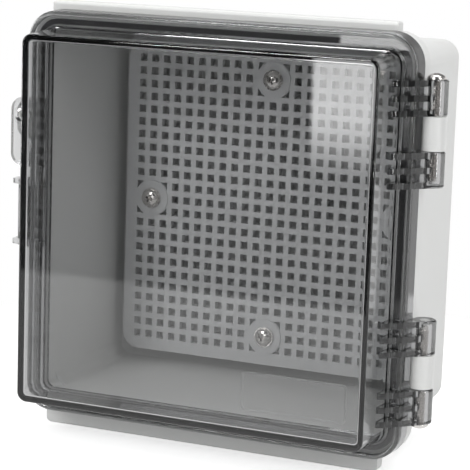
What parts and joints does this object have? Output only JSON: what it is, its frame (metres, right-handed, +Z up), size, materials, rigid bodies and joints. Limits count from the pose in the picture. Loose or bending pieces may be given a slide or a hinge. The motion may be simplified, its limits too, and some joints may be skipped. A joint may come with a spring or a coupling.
{
  "type": "hinged polycarbonate enclosure",
  "caption": "Deep rectangular instrument case with a smoke-clear hinged lid, side latch, padlock lugs and a perforated mounting plate inside.",
  "frame": {"origin": "centre of the outline seen from above, at the underside of the bottom ledge, where the case stands", "axes": "+Z up, +X to the right seen from the front, +Y from the lid's face towards the back of the base"},
  "size_m": [0.236, 0.126, 0.2256],
  "materials": {
    "case": "fine moulded satin",
    "plate": "satin moulded",
    "clear": "polished smoke-clear",
    "fixing": "bright stainless",
    "insert": "machined",
    "seal": "matt"
  },
  "bodies": {
    "base": {"base": "case", "mounting_plate": "plate", "plate_insert_top": "insert", "plate_insert_right": "insert", "plate_insert_bottom": "insert", "plate_insert_left": "insert", "plate_washer_top": "fixing", "plate_washer_right": "fixing", "plate_washer_bottom": "fixing", "plate_washer_left": "fixing", "plate_screw_top": "fixing", "plate_screw_right": "fixing", "plate_screw_bottom": "fixing", "plate_screw_left": "fixing", "wall_insert_upper_right": "insert", "wall_insert_lower_right": "insert", "wall_insert_lower_left": "insert", "wall_insert_upper_left": "insert"},
    "lid": {"lid": "clear", "gasket": "seal", "hinge_screw_upper": "fixing", "hinge_screw_lower": "fixing", "latch_pin": "fixing"},
    "latch": {"latch_lever": "clear"}
  },
  "joints": [
    {"name": "lid_hinge", "type": "hinge", "parent": "base", "child": "lid", "pos_m": [0.112, -0.027, 0.1154], "axis": [0, 0, 1], "range_deg": [0, 180]},
    {"name": "latch_pivot", "type": "hinge", "parent": "lid", "child": "latch", "pos_m": [-0.1106, -0.029, 0.1154], "axis": [0, 0, 1], "range_deg": [0, 120]}
  ]
}
